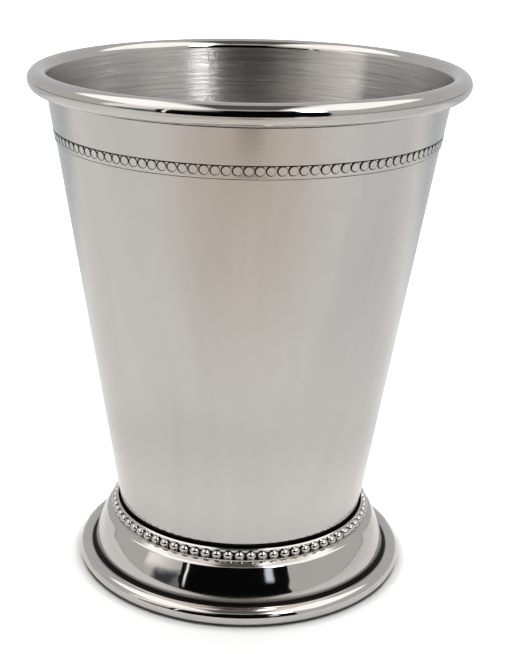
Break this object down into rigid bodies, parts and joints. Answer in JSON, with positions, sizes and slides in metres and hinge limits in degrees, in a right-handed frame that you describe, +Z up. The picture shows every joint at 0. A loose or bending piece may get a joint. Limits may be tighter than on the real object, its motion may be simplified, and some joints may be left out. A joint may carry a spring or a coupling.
{
  "type": "julep cup",
  "caption": "Tapered sheet metal drinking cup with a curled rim, a border of small discs, a beaded ring and a low rolled foot.",
  "frame": {"origin": "centre of the foot, at the level of the table that the cup stands on", "axes": "+Z up, along the cup's axis; -Y toward the viewer in the picture"},
  "size_m": [0.0888, 0.0888, 0.1075],
  "materials": {
    "polished_steel": "polished, with a fine circular grain",
    "solder": "satin"
  },
  "bodies": {
    "root": {"cup_body": "polished_steel", "foot": "polished_steel", "beaded_ring": "polished_steel", "solder_ring": "solder"}
  },
  "joints": []
}
